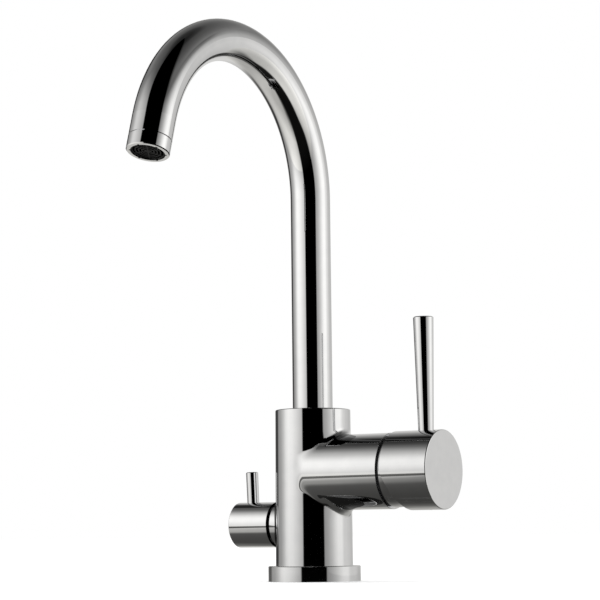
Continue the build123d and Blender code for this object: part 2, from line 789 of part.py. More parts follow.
# Handle cap: a thick casting with a skirt over the dome, a slanting cut below, a hub and a lever seat
skirt_end = handle_start + handle_radius * tan(radians(skirt_cut_angle))
socket_half = stem_width / 2 + running_clearance
lever_direction = (-sin(radians(lever_lean)), 0, cos(radians(lever_lean)))
lever_up = Plane((lever_x, 0, branch_height), x_dir=(1, 0, 0), z_dir=lever_direction)
screw_plane = Plane((handle_screw_x, 0, branch_height), x_dir=(1, 0, 0), z_dir=(0, 0, -1))
with BuildPart() as handle_cap:
    with BuildSketch(across_branch(handle_start)):
        Circle(handle_radius)
    extrude(amount=handle_length)
    handle_rims = handle_cap.edges().filter_by(GeomType.CIRCLE).sort_by(Axis.X)
    fillet(handle_rims[-1], radius=handle_edge_radius)
    chamfer(handle_rims[0], length=handle_inner_bevel)
    with BuildSketch(branch_section):
        with BuildLine():
            Polyline(
                (handle_start - handle_gap, 0),
                (handle_start, 0),
                (skirt_end, -handle_radius),
                (handle_start - handle_gap, -handle_radius),
                close=True,
            )
        make_face()
    extrude(amount=handle_radius, both=True, mode=Mode.SUBTRACT)
    with BuildSketch(branch_section):
        with BuildLine():
            Polyline(
                (pivot_x + skirt_bore_radius, 0),
                (handle_start - handle_gap, 0),
                (handle_start - handle_gap, skirt_bore_radius),
                (pivot_x, skirt_bore_radius),
            )
            RadiusArc((pivot_x, skirt_bore_radius), (pivot_x + skirt_bore_radius, 0), skirt_bore_radius)
        make_face()
    revolve(axis=branch_axis, mode=Mode.SUBTRACT)
    with BuildSketch(across_branch(pivot_x + hub_inset)):
        Circle(hub_radius)
    extrude(amount=skirt_bore_radius - hub_inset)
    with BuildSketch(across_branch(pivot_x + hub_inset)):
        Rectangle(2 * socket_half, 2 * socket_half)
    extrude(amount=handle_face - socket_floor - pivot_x - hub_inset, mode=Mode.SUBTRACT)
    with BuildSketch(lever_up.offset(lever_seat_rise)):
        Circle(lever_foot_radius + running_clearance)
    extrude(amount=handle_radius, mode=Mode.SUBTRACT)
    with BuildSketch(lever_up.offset(lever_seat_rise)):
        Circle(lever_spigot_radius + running_clearance)
    extrude(amount=-lever_spigot_length - running_clearance, mode=Mode.SUBTRACT)
    with BuildSketch(screw_plane):
        Circle(handle_screw_radius + running_clearance)
    extrude(amount=handle_radius, mode=Mode.SUBTRACT)
keep(handle_cap, "handle_cap")

# Lever rod: a turned taper, wider at the top, with a threaded spigot
with BuildPart() as lever_rod:
    with BuildSketch(lever_up.offset(handle_radius)):
        Circle(lever_foot_radius)
    with BuildSketch(lever_up.offset(lever_rise)):
        Circle(lever_top_radius)
    loft()
    chamfer(lever_rod.edges().sort_by(Axis.Z)[-1], length=lever_top_bevel)
    with BuildSketch(lever_up.offset(handle_radius)):
        Circle(lever_foot_radius)
    extrude(amount=lever_seat_rise - handle_radius)
    with BuildSketch(lever_up.offset(lever_seat_rise)):
        Circle(lever_spigot_radius)
    extrude(amount=-lever_spigot_length)
keep(lever_rod, "lever_rod")

screw_tip = stem_width / 2 + running_clearance
screw_socket = screw_plane.offset(screw_tip + handle_screw_length)
handle_grub_screw = grub_screw(screw_socket, handle_screw_radius, handle_screw_length)
keep(handle_grub_screw, "handle_grub_screw")

# Shut-off headwork: a turned brass insert with a waist, windows, a disc cavity and a hexagon under the knob
valve_start = valve_seat_x - valve_seal_thickness
headwork_end = -boss_reach - valve_hex_length
waist_start = valve_start - valve_waist_inset
cavity_end = valve_start - valve_cavity_depth
window_x = cavity_end + valve_window_inset + valve_window_radius
spindle_bore_radius = spindle_radius + running_clearance
valve_o_ring_minor = valve_o_ring_thickness / 2
valve_o_ring_major = valve_bore_radius - running_clearance - valve_o_ring_minor
valve_o_ring_x = -boss_reach + valve_o_ring_setback
with BuildPart() as shutoff_headwork:
    with BuildSketch(across_knob(valve_start)):
        Circle(valve_radius)
    extrude(amount=valve_start + boss_reach)
    with BuildSketch(across_knob(-boss_reach)):
        RegularPolygon(valve_hex_flats / 2, 6, major_radius=False)
    extrude(amount=valve_hex_length)
    with BuildSketch(across_knob(waist_start)):
        Circle(valve_radius)
        Circle(valve_waist_radius, mode=Mode.SUBTRACT)
    extrude(amount=valve_waist_length, mode=Mode.SUBTRACT)
    with BuildSketch(across_knob(valve_o_ring_x + valve_o_ring_minor)):
        Circle(valve_radius)
        Circle(valve_o_ring_major - valve_o_ring_minor, mode=Mode.SUBTRACT)
    extrude(amount=valve_o_ring_thickness, mode=Mode.SUBTRACT)
    with BuildSketch(across_knob(valve_start)):
        Circle(valve_cavity_radius)
    extrude(amount=valve_cavity_depth, mode=Mode.SUBTRACT)
    with BuildSketch(across_knob(valve_start)):
        Circle(spindle_bore_radius)
    extrude(amount=valve_start - headwork_end, mode=Mode.SUBTRACT)
    with BuildSketch(Plane((window_x, 0, knob_height))):
        Circle(valve_window_radius)
    extrude(amount=valve_radius, both=True, mode=Mode.SUBTRACT)
keep(shutoff_headwork, "shutoff_headwork")

with BuildPart() as shutoff_o_ring:
    with Locations(across_knob(valve_o_ring_x)):
        Torus(valve_o_ring_major, valve_o_ring_minor)
keep(shutoff_o_ring, "shutoff_o_ring")

valve_seal_inner = valve_radius - valve_seal_width
shutoff_seal = sleeve(across_knob(valve_seat_x), valve_radius, valve_seal_inner, valve_seal_thickness)
keep(shutoff_seal, "shutoff_seal")

# Shut-off discs: the fixed one with two round ports, the moving one with a half-moon cut away on each side
disc_radius = valve_cavity_radius - running_clearance
fixed_disc_end = valve_start - valve_disc_thickness
turning_disc_start = fixed_disc_end - disc_film
valve_ports = [(valve_port_side, 0), (-valve_port_side, 0)]
with BuildPart() as shutoff_fixed_disc:
    with BuildSketch(across_knob(valve_start)):
        Circle(disc_radius)
        with Locations(valve_ports):
            Circle(valve_port_radius, mode=Mode.SUBTRACT)
    extrude(amount=valve_disc_thickness)
keep(shutoff_fixed_disc, "shutoff_fixed_disc")

tab_slot_width = spindle_tab_width + 2 * running_clearance
with BuildPart() as shutoff_moving_disc:
    with BuildSketch(across_knob(turning_disc_start)):
        Circle(disc_radius)
        with Locations((0, valve_port_side), (0, -valve_port_side)):
            Circle(valve_port_radius, mode=Mode.SUBTRACT)
    extrude(amount=valve_disc_thickness)
    with BuildSketch(across_knob(turning_disc_start)):
        Rectangle(tab_slot_width, tab_slot_width)
    extrude(amount=valve_disc_thickness, mode=Mode.SUBTRACT)
keep(shutoff_moving_disc, "shutoff_moving_disc")

# Shut-off spindle: a tab in the disc, a collar behind it, a seal groove, a clip groove and the knob's end
collar_start = turning_disc_start - valve_disc_thickness - seat_clearance
spindle_end = knob_start - knob_socket_depth + seat_clearance
spindle_o_ring_minor = spindle_o_ring_thickness / 2
spindle_o_ring_major = spindle_bore_radius - running_clearance - spindle_o_ring_minor
spindle_o_ring_x = headwork_end + spindle_o_ring_setback
clip_start = headwork_end - seat_clearance
clip_inner_radius = spindle_radius - clip_width / 2
with BuildPart() as shutoff_spindle:
    with BuildSketch(across_knob(collar_start)):
        Circle(spindle_collar_radius)
    extrude(amount=spindle_collar_length)
    with BuildSketch(across_knob(collar_start)):
        Rectangle(spindle_tab_width, spindle_tab_width)
    extrude(amount=-spindle_tab_length)
    with BuildSketch(across_knob(collar_start)):
        Circle(spindle_radius)
    extrude(amount=collar_start - spindle_end)
    with BuildSketch(across_knob(spindle_o_ring_x + spindle_o_ring_minor)):
        Circle(spindle_radius)
        Circle(spindle_o_ring_major - spindle_o_ring_minor, mode=Mode.SUBTRACT)
    extrude(amount=spindle_o_ring_thickness, mode=Mode.SUBTRACT)
    with BuildSketch(across_knob(clip_start)):
        Circle(spindle_radius)
        Circle(clip_inner_radius, mode=Mode.SUBTRACT)
    extrude(amount=clip_thickness, mode=Mode.SUBTRACT)
keep(shutoff_spindle, "shutoff_spindle")

with BuildPart() as spindle_o_ring:
    with Locations(across_knob(spindle_o_ring_x)):
        Torus(spindle_o_ring_major, spindle_o_ring_minor)
keep(spindle_o_ring, "spindle_o_ring")

clip_outer_radius = clip_inner_radius + clip_width
spindle_clip = sleeve(across_knob(clip_start), clip_outer_radius, clip_inner_radius, clip_thickness)
keep(spindle_clip, "spindle_clip")

# Knob: a turned cylinder with a recess over the hexagon, a spindle socket and a seat for the pin
pin_direction = (-sin(radians(pin_lean)), 0, cos(radians(pin_lean)))
pin_up = Plane((pin_x, 0, knob_height), x_dir=(1, 0, 0), z_dir=pin_direction)
with BuildPart() as shutoff_knob:
    with BuildSketch(across_knob(knob_start)):
        Circle(knob_radius)
    extrude(amount=knob_length)
    end_rim = shutoff_knob.edges().filter_by(GeomType.CIRCLE).sort_by(Axis.X)[0]
    chamfer(end_rim, length=knob_bevel)
    with BuildSketch(across_knob(knob_start)):
        Circle(knob_recess_radius)
    extrude(amount=knob_recess_depth, mode=Mode.SUBTRACT)
    with BuildSketch(across_knob(knob_start)):
        Circle(spindle_radius + running_clearance)
    extrude(amount=knob_socket_depth, mode=Mode.SUBTRACT)
    with BuildSketch(pin_up.offset(pin_seat_rise)):
        Circle(pin_foot_radius + running_clearance)
    extrude(amount=knob_radius, mode=Mode.SUBTRACT)
    with BuildSketch(pin_up.offset(pin_seat_rise)):
        Circle(pin_spigot_radius + running_clearance)
    extrude(amount=-pin_seat_rise, mode=Mode.SUBTRACT)
keep(shutoff_knob, "shutoff_knob")

# Pin: a turned taper whose threaded end bears on the spindle
with BuildPart() as shutoff_pin:
    with BuildSketch(pin_up.offset(knob_radius)):
        Circle(pin_foot_radius)
    with BuildSketch(pin_up.offset(pin_rise)):
        Circle(pin_top_radius)
    loft()
    chamfer(shutoff_pin.edges().sort_by(Axis.Z)[-1], length=pin_top_bevel)
    with BuildSketch(pin_up.offset(knob_radius)):
        Circle(pin_foot_radius)
    extrude(amount=pin_seat_rise - knob_radius)
    with BuildSketch(pin_up.offset(pin_seat_rise)):
        Circle(pin_spigot_radius)
    extrude(amount=spindle_radius + seat_clearance - pin_seat_rise)
keep(shutoff_pin, "shutoff_pin")
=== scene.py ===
"""Looks of the kitchen mixer tap: a finish for every piece, a white studio and the photograph's camera.

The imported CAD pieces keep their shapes. Metres, in the CAD frame: +Z is up, the spout points along -Y,
the branch with the lever along +X and the shut-off knob along -X.
"""
import math

import bmesh
import bpy
from mathutils import Matrix, Vector

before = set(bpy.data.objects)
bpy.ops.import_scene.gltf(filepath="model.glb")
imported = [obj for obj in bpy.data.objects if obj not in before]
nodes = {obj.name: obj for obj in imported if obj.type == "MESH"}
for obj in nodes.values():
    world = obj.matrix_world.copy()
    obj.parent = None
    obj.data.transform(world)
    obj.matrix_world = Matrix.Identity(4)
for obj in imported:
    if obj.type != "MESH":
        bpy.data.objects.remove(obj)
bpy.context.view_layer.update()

# Base ring: the turned brass ring that the body stands on, plated with bright chrome like all that shows.
# The plating is a mirror, with a very slow swell and a faint uneven haze from the polishing wheel. Only the
# bevel round the ring's upper edge is left as the lathe turned it, a little duller.

grain_middle = (0.3, 0.7)
haze_per_metre = 160
swell_per_metre = 26
swell_depth = 1.2e-5
plating_roughness = (0.018, 0.045)
plating_dark = (0.865, 0.870, 0.880)
plating_light = (0.905, 0.908, 0.915)
ring_bevel = (0.00905, 0.0092)
ring_bevel_dull = 0.3
flat_facing = 0.97


def new_material(name):
    """A new node material: the material, its tree, its shader and its coordinates in metres."""
    material = bpy.data.materials.new(name)
    material.use_nodes = True
    tree = material.node_tree
    shader = tree.nodes["Principled BSDF"]
    place = tree.nodes.new("ShaderNodeTexCoord").outputs["Object"]
    return material, tree, shader, place


def add_node(tree, kind, inputs=None, **settings):
    """A node of that kind with some settings. Each input is another node's output or a plain value."""
    made = tree.nodes.new(kind)
    for setting, value in settings.items():
        setattr(made, setting, value)
    for socket, part in (inputs or {}).items():
        if isinstance(part, bpy.types.NodeSocket):
            tree.links.new(part, made.inputs[socket])
        else:
            made.inputs[socket].default_value = part
    return made


def sum_of(tree, operation, *parts):
    """One sum of some numbers, each of them another node's output or a plain value."""
    return add_node(tree, "ShaderNodeMath", dict(enumerate(parts)), operation=operation).outputs[0]


def times(tree, first, second):
    """One number times another."""
    return sum_of(tree, "MULTIPLY", first, second)


def axes_of(tree, place):
    """The X, Y and Z of a place or of a direction."""
    return add_node(tree, "ShaderNodeSeparateXYZ", {"Vector": place}).outputs


def rise(tree, value, start, end, low=0.0, high=1.0, kind="LINEAR"):
    """A number that goes from low at start to high at end, evenly unless another kind is named."""
    mapped = add_node(
        tree,
        "ShaderNodeMapRange",
        {"Value": value, "From Min": start, "From Max": end, "To Min": low, "To Max": high},
        interpolation_type=kind,
    )
    return mapped.outputs["Result"]


def grain(tree, place, per_metre, detail, stretch=(1, 1, 1)):
    """Noise of that many cells per metre, stretched along the axes whose factor is small."""
    spread = add_node(tree, "ShaderNodeMapping", {"Vector": place, "Scale": stretch}).outputs["Vector"]
    noise = add_node(tree, "ShaderNodeTexNoise", {"Vector": spread, "Scale": per_metre, "Detail": detail})
    return noise.outputs["Fac"]


def between(tree, factor, low, high):
    """A number that goes from low to high over the middle range of a grain."""
    return rise(tree, factor, *grain_middle, low, high)


def tint(tree, factor, dark, light):
    """A colour that goes from dark to light over the middle range of a grain."""
    ramp = add_node(tree, "ShaderNodeValToRGB", {"Fac": factor})
    for mark, where, colour in zip(ramp.color_ramp.elements, grain_middle, (dark, light)):
        mark.position = where
        mark.color = (*colour, 1)
    return ramp.outputs["Color"]


def coat(tree, shader, colour, roughness):
    """Gives a shader its colour and its roughness."""
    tree.links.new(colour, shader.inputs["Base Color"])
    tree.links.new(roughness, shader.inputs["Roughness"])


def relief(tree, shader, height, depth):
    """Raises the surface by height times depth metres."""
    bump = add_node(tree, "ShaderNodeBump", {"Height": height, "Strength": 1.0, "Distance": depth})
    tree.links.new(bump.outputs["Normal"], shader.inputs["Normal"])


def fed_by(shader, socket):
    """The output that feeds a socket of a shader."""
    return shader.inputs[socket].links[0].from_socket


def dress(material, *names):
    """Gives the CAD nodes of those names this material."""
    for name in names:
        slots = nodes[name].data.materials
        slots.clear()
        slots.append(material)


def plating(name):
    """Bright chrome: the material, its tree, its shader and its coordinates in metres."""
    material, tree, shader, place = new_material(name)
    shader.inputs["Metallic"].default_value = 1.0
    haze = grain(tree, place, haze_per_metre, detail=3.0)
    swell = grain(tree, place, swell_per_metre, detail=1.0)
    colour = tint(tree, haze, plating_dark, plating_light)
    coat(tree, shader, colour, between(tree, haze, *plating_roughness))
    relief(tree, shader, swell, swell_depth)
    return material, tree, shader, place


ring_chrome, tree, shader, place = plating("ring_chrome")
facing = axes_of(tree, add_node(tree, "ShaderNodeNewGeometry").outputs["Normal"])
sloped = sum_of(tree, "LESS_THAN", facing["Z"], flat_facing)
upper_edge = rise(tree, axes_of(tree, place)["Z"], *ring_bevel, high=ring_bevel_dull)
ring_roughness = sum_of(tree, "ADD", fed_by(shader, "Roughness"), times(tree, upper_edge, sloped))
tree.links.new(ring_roughness, shader.inputs["Roughness"])
dress(ring_chrome, "base_ring")

# Base gasket: a flat moulded ring of black rubber that seals the base ring to the worktop.
# It is dull, with a fine bloom, and lies in a groove in the underside.

bloom_per_metre = 700
bloom_depth = 1.5e-5
rubber_dark = (0.016, 0.016, 0.017)
rubber_light = (0.036, 0.036, 0.038)
rubber_roughness = (0.55, 0.75)

rubber, tree, shader, place = new_material("black_rubber")
bloom = grain(tree, place, bloom_per_metre, detail=4.0)
coat(tree, shader, tint(tree, bloom, rubber_dark, rubber_light), between(tree, bloom, *rubber_roughness))
relief(tree, shader, bloom, bloom_depth)
dress(rubber, "base_gasket")

# Body casting: one brass casting with its side branch and the boss for the shut-off valve, plated outside
# and raw inside, where the bores are machined. The polishing wheel has rounded the crotch between body and
# branch, in front and behind. A fine line of painted shade runs round the boss's root, in the crease there.

body_radius = 0.0227
branch_radius = 0.0222
branch_height = 0.0642
knob_height = 0.0339
boss_radius = 0.0136
root_shade_width = (0.0011, 0.0006)
root_shade_colour = (0.03, 0.03, 0.03, 1)
crotch_softness = 0.0029
crotch_curve = 2.0
crotch_sides = (0.014, 0.018)
crotch_start = (0.001, 0.007)
skin_depth = 0.0004
plated_wall = 0.0215
plated_top = 0.1012
raw_brass_per_metre = 900
raw_brass_stretch = (1, 1, 0.2)
raw_brass_dark = (0.60, 0.44, 0.20)
raw_brass_light = (0.76, 0.60, 0.33)


def soft_rise(tree, value, start, end):
    """A share that rises smoothly from 0 at start to 1 at end."""
    return rise(tree, value, start, end, kind="SMOOTHSTEP")


def blend(tree, share, low, high):
    """A colour or grey level that goes from low to high with a share."""
    mixed = add_node(tree, "ShaderNodeMix", {"Factor": share, 6: low, 7: high}, data_type="RGBA")
    return mixed.outputs[2]


def paint_over(tree, shader, where, colour):
    """Gives a finish another colour there."""
    tree.links.new(blend(tree, where, fed_by(shader, "Base Color"), colour), shader.inputs["Base Color"])


def length_of(tree, way):
    """How long a way is."""
    return add_node(tree, "ShaderNodeVectorMath", {0: way}, operation="LENGTH").outputs["Value"]


def direction_of(tree, way):
    """A way of the same direction, one metre long."""
    return add_node(tree, "ShaderNodeVectorMath", {0: way}, operation="NORMALIZE").outputs["Vector"]


def turned_between(tree, share, low, high):
    """A direction that goes from low to high with a share."""
    mixed = add_node(tree, "ShaderNodeMix", {"Factor": share, 4: low, 5: high}, data_type="VECTOR")
    return mixed.outputs[1]


def from_level_axis(tree, place, height):
    """The way to a place from the axis along X at that height."""
    across_x = {0: place, 1: (0, 1, 1), 2: (0, 0, -height)}
    return add_node(tree, "ShaderNodeVectorMath", across_x, operation="MULTIPLY_ADD").outputs["Vector"]


casting, tree, shader, place = plating("chromed_brass_casting")
axes = axes_of(tree, place)
across = add_node(tree, "ShaderNodeCombineXYZ", {"X": axes["X"], "Y": axes["Y"]}).outputs["Vector"]
from_axis = length_of(tree, across)
inside = sum_of(tree, "LESS_THAN", from_axis, plated_wall)
below_top = sum_of(tree, "LESS_THAN", axes["Z"], plated_top)
raw_grain = grain(tree, place, raw_brass_per_metre, detail=3.0, stretch=raw_brass_stretch)
raw_colour = tint(tree, raw_grain, raw_brass_dark, raw_brass_light)
paint_over(tree, shader, times(tree, inside, below_top), raw_colour)

branch_ray = from_level_axis(tree, place, branch_height)
off_body = sum_of(tree, "SUBTRACT", from_axis, body_radius)
off_branch = sum_of(tree, "SUBTRACT", length_of(tree, branch_ray), branch_radius)
nearer_body = rise(tree, sum_of(tree, "SUBTRACT", off_branch, off_body), 0.0, crotch_softness)
body_share = sum_of(tree, "POWER", nearer_body, crotch_curve)
soft_way = turned_between(tree, body_share, direction_of(tree, branch_ray), direction_of(tree, across))
beside = soft_rise(tree, sum_of(tree, "ABSOLUTE", axes["Y"]), *crotch_sides)
in_crotch = times(tree, beside, soft_rise(tree, axes["X"], *crotch_start))
on_skin = sum_of(tree, "GREATER_THAN", sum_of(tree, "MINIMUM", off_body, off_branch), -skin_depth)
cast_way = add_node(tree, "ShaderNodeNewGeometry").outputs["Normal"]
wheel_share = times(tree, in_crotch, on_skin)
polished_way = turned_between(tree, wheel_share, cast_way, direction_of(tree, soft_way))
tree.links.new(polished_way, fed_by(shader, "Normal").node.inputs["Normal"])

# Painted shade: a dark line in the crease round the boss's root.
from_boss = length_of(tree, from_level_axis(tree, place, knob_height))
on_boss = sum_of(tree, "COMPARE", from_boss, boss_radius, skin_depth)
root_shade = times(tree, on_boss, soft_rise(tree, off_body, *root_shade_width))
boss_side = sum_of(tree, "LESS_THAN", axes["X"], 0.0)
paint_over(tree, shader, times(tree, root_shade, boss_side), root_shade_colour)
dress(casting, "body_casting")

# Spout tube and aerator housing: drawn brass tube bent in one sweep, and the turned ring screwed into it.
# Both have the same bright plating as the base ring.

chrome = plating("bright_chrome")[0]
dress(chrome, "spout_tube", "aerator_housing")

# Spout foot and what it turns on: a turned brass foot, two rubber O-rings, two white plastic bearing rings
# and the steel grub screw in the back of the body that holds the foot down and stops its swing.

lathe_per_metre = 10
lathe_along = 400.0
lathe_across = 12.0
lathe_depth = 4e-6
mottle_per_metre = 120
texture_per_metre = 2600
texture_depth = 8e-6
brass_roughness = (0.22, 0.36)
steel_dark = (0.52, 0.52, 0.53)
steel_light = (0.66, 0.66, 0.67)
steel_roughness = (0.18, 0.3)
white_plastic_dark = (0.74, 0.74, 0.71)
white_plastic_light = (0.84, 0.84, 0.82)
white_plastic_roughness = (0.35, 0.5)


def turned_metal(name, dark, light, roughness, lathe_axis):
    """Bare metal with the fine rings that a lathe leaves round an axis."""
    material, tree, shader, place = new_material(name)
    stretch = [lathe_along if axis == lathe_axis else lathe_across for axis in "XYZ"]
    rings = grain(tree, place, lathe_per_metre, detail=2.0, stretch=stretch)
    shader.inputs["Metallic"].default_value = 1.0
    coat(tree, shader, tint(tree, rings, dark, light), between(tree, rings, *roughness))
    relief(tree, shader, rings, lathe_depth)
    return material


def moulded_plastic(name, dark, light, roughness):
    """Satin moulded plastic with a fine even texture and a slight flow mottle."""
    material, tree, shader, place = new_material(name)
    mottle = grain(tree, place, mottle_per_metre, detail=2.0)
    texture = grain(tree, place, texture_per_metre, detail=1.0)
    coat(tree, shader, tint(tree, mottle, dark, light), between(tree, texture, *roughness))
    relief(tree, shader, texture, texture_depth)
    return material


brass_upright = turned_metal("turned_brass_upright", raw_brass_dark, raw_brass_light, brass_roughness, "Z")
white_plastic = moulded_plastic(
    "white_plastic", white_plastic_dark, white_plastic_light, white_plastic_roughness
)
steel = turned_metal("bright_steel", steel_dark, steel_light, steel_roughness, "Y")
dress(brass_upright, "spout_foot")
dress(rubber, "spout_o_rings")
dress(white_plastic, "spout_slip_rings")
dress(steel, "spout_lock_screw")

# Aerator inside the outlet: a black moulded insert with ring-shaped vanes, a pressed steel plate with holes
# behind it, and a rubber washer against the tube. The insert sits deep and is matt.

outlet_dark = (0.003, 0.003, 0.003)
outlet_light = (0.007, 0.007, 0.007)
outlet_roughness = (0.45, 0.6)
outlet_shine = 0.2

outlet_black = moulded_plastic("outlet_black", outlet_dark, outlet_light, outlet_roughness)
outlet_shader = outlet_black.node_tree.nodes["Principled BSDF"]
outlet_shader.inputs["Specular IOR Level"].default_value = outlet_shine
dress(outlet_black, "aerator_insert")
dress(steel, "aerator_screen")
dress(rubber, "aerator_washer")

# Mixing cartridge: moulded housing and carriers, lapped ceramic discs that slide on each other, rubber port
# seals, a steel pivot pin, and the turned brass stem and nut.

speckle_per_metre = 1500
ceramic_dark = (0.84, 0.83, 0.79)
ceramic_light = (0.90, 0.89, 0.86)
ceramic_roughness = (0.12, 0.24)
black_plastic_dark = (0.010, 0.010, 0.011)
black_plastic_light = (0.022, 0.022, 0.023)
black_plastic_roughness = (0.3, 0.45)

ceramic, tree, shader, place = new_material("lapped_ceramic")
speckle = grain(tree, place, speckle_per_metre, detail=3.0)
coat(
    tree,
    shader,
    tint(tree, speckle, ceramic_dark, ceramic_light),
    between(tree, speckle, *ceramic_roughness),
)
black_plastic = moulded_plastic(
    "black_plastic", black_plastic_dark, black_plastic_light, black_plastic_roughness
)
brass_level = turned_metal("turned_brass_level", raw_brass_dark, raw_brass_light, brass_roughness, "X")
dress(white_plastic, "cartridge_housing", "cartridge_turntable")
dress(black_plastic, "cartridge_base", "disc_driver")
dress(rubber, "cartridge_port_seals")
dress(ceramic, "fixed_ceramic_disc", "moving_ceramic_disc")
dress(steel, "stem_pivot_pin")
dress(brass_level, "lever_stem", "cartridge_nut")

# Gap ring and dome: the black plastic ring between the branch and the handle, and the chromed spun cap over
# the cartridge, which shows in the handle's slanting cut.

dress(black_plastic, "gap_ring")
dress(chrome, "cartridge_dome")

# Handle: a turned brass cap, plated like the body, with the tapered lever rod screwed into it.
# It sits on the cartridge's square stem, held by a steel grub screw underneath.

dress(chrome, "handle_cap", "lever_rod")
dress(steel, "handle_grub_screw")

# Shut-off valve: the plated knob with its pin, on a turned brass headwork and spindle with ceramic discs,
# rubber rings and a steel clip. What shows in the gap behind the knob, the headwork's neck and the knob's
# hollow with its inner rim, is painted black: painted shade where the knob's skirt shades the gap.

neck = (-0.0215, -0.0225)
knob_rim = (-0.0256, -0.0255)
knob_hollow_radius = 0.0123
knob_hollow_end = -0.0305
painted_shade_black = (0.006, 0.006, 0.006, 1)

headwork_brass = turned_metal("headwork_brass", raw_brass_dark, raw_brass_light, brass_roughness, "X")
tree = headwork_brass.node_tree
axes = axes_of(tree, add_node(tree, "ShaderNodeTexCoord").outputs["Object"])
# Painted shade: the headwork's neck in the gap behind the knob is painted black.
paint_over(tree, tree.nodes["Principled BSDF"], soft_rise(tree, axes["X"], *neck), painted_shade_black)

knob_chrome, tree, shader, place = plating("knob_chrome")
axes = axes_of(tree, place)
from_knob = length_of(tree, from_level_axis(tree, place, knob_height))
# Painted shade: the knob's hollow and its inner rim are painted black.
within = sum_of(tree, "LESS_THAN", from_knob, knob_hollow_radius)
in_hollow = times(tree, within, sum_of(tree, "GREATER_THAN", axes["X"], knob_hollow_end))
on_rim = soft_rise(tree, axes["X"], *knob_rim)
paint_over(tree, shader, sum_of(tree, "MAXIMUM", in_hollow, on_rim), painted_shade_black)
dress(knob_chrome, "shutoff_knob")
dress(chrome, "shutoff_pin")
dress(headwork_brass, "shutoff_headwork")
dress(brass_level, "shutoff_spindle")
dress(rubber, "shutoff_o_ring", "shutoff_seal", "spindle_o_ring")
dress(ceramic, "shutoff_fixed_disc", "shutoff_moving_disc")
dress(steel, "spindle_clip")

# Camera: near the worktop's height, on the lever's side, looking slightly up, as the photograph was taken.
# Its place, turns and long lens come from a fit to the tap's edges.

camera_azimuth = math.radians(31.78)
camera_distance = 1.2
camera_height = 0.02948
camera_tilt = math.radians(6.6)
camera_roll = math.radians(-0.63)
camera_yaw = math.radians(-0.33)
camera_nearest = 0.05
camera_farthest = 50
lens_pixels = 2003.98
photo_pixels = 600
sensor_width = 36.0

upward = Vector((0, 0, 1))
to_camera = Vector((math.sin(camera_azimuth), -math.cos(camera_azimuth), 0))
level_look = Matrix.Rotation(-camera_yaw, 3, upward) @ -to_camera
level_right = level_look.cross(upward)
look = level_look * math.cos(camera_tilt) + upward * math.sin(camera_tilt)
top = level_right.cross(look)
camera_right = level_right * math.cos(camera_roll) + top * math.sin(camera_roll)
camera_top = top * math.cos(camera_roll) - level_right * math.sin(camera_roll)
camera_turn = Matrix((camera_right, camera_top, -look)).transposed()

camera_data = bpy.data.cameras.new("camera")
camera_data.sensor_width = sensor_width
camera_data.lens = lens_pixels / photo_pixels * sensor_width
camera_data.clip_start = camera_nearest
camera_data.clip_end = camera_farthest
camera = bpy.data.objects.new("camera", camera_data)
camera_place = Matrix.Translation(to_camera * camera_distance + upward * camera_height)
camera.matrix_world = camera_place @ camera_turn.to_4x4()
bpy.context.scene.collection.objects.link(camera)
bpy.context.scene.camera = camera

# Floor and background: a white worktop that runs out to a white surround, with a trace of the tap's shadow.
# A large soft lamp hangs on the left. The surround is white for the camera and in what shines or is clear.

floor_half = 8.0
corner_signs = [(-1, -1), (1, -1), (1, 1), (-1, 1)]
floor_colour = (0.92, 0.92, 0.92, 1)
floor_roughness = 0.9
floor_glow = (0.0, 0.36)
pure_white = (1, 1, 1, 1)
surround_glow = (0.86, 1.0)
lamp_size = 1.4
lamp_watts = 9.0
lamp_place = (-1.1, -0.5, 1.7)


def flat_panel(name, half, height, material):
    """A flat square panel of that half width at that height."""
    mesh = bpy.data.meshes.new(name)
    corners = [(x * half, y * half, height) for x, y in corner_signs]
    mesh.from_pydata(corners, [], [range(len(corners))])
    mesh.materials.append(material)
    panel = bpy.data.objects.new(name, mesh)
    bpy.context.scene.collection.objects.link(panel)
    return panel


def in_plain_sight(tree, unseen, seen):
    """A strength that is seen for the camera and in reflections and glass, and unseen for soft light."""
    rays = add_node(tree, "ShaderNodeLightPath").outputs
    mirrored = sum_of(tree, "MAXIMUM", rays["Is Camera Ray"], rays["Is Glossy Ray"])
    through = sum_of(tree, "MAXIMUM", mirrored, rays["Is Transmission Ray"])
    return rise(tree, through, 0.0, 1.0, unseen, seen)


floor_white, tree, shader, place = new_material("floor_white")
shader.inputs["Base Color"].default_value = floor_colour
shader.inputs["Roughness"].default_value = floor_roughness
shader.inputs["Specular IOR Level"].default_value = 0.0
shader.inputs["Emission Color"].default_value = pure_white
tree.links.new(in_plain_sight(tree, *floor_glow), shader.inputs["Emission Strength"])
flat_panel("floor", floor_half, 0, floor_white)

world = bpy.data.worlds.new("white_surround")
world.use_nodes = True
bpy.context.scene.world = world
tree = world.node_tree
background = tree.nodes["Background"]
background.inputs["Color"].default_value = pure_white
tree.links.new(in_plain_sight(tree, *surround_glow), background.inputs["Strength"])

lamp_data = bpy.data.lights.new("soft_lamp", "AREA")
lamp_data.size = lamp_size
lamp_data.energy = lamp_watts
lamp = bpy.data.objects.new("soft_lamp", lamp_data)
lamp.location = lamp_place
lamp.rotation_euler = (-lamp.location).to_track_quat("-Z", "Y").to_euler()
lamp.visible_glossy = False
bpy.context.scene.collection.objects.link(lamp)

# Light tent: what the chrome mirrors. White cloth stands left, right and behind, black drapes hang on the
# camera's side and a dim cloth hangs over the arch. Only reflections see it, dimmer where mirrored twice.
# Angles are degrees up from the table, and degrees round from the camera's side towards its right.

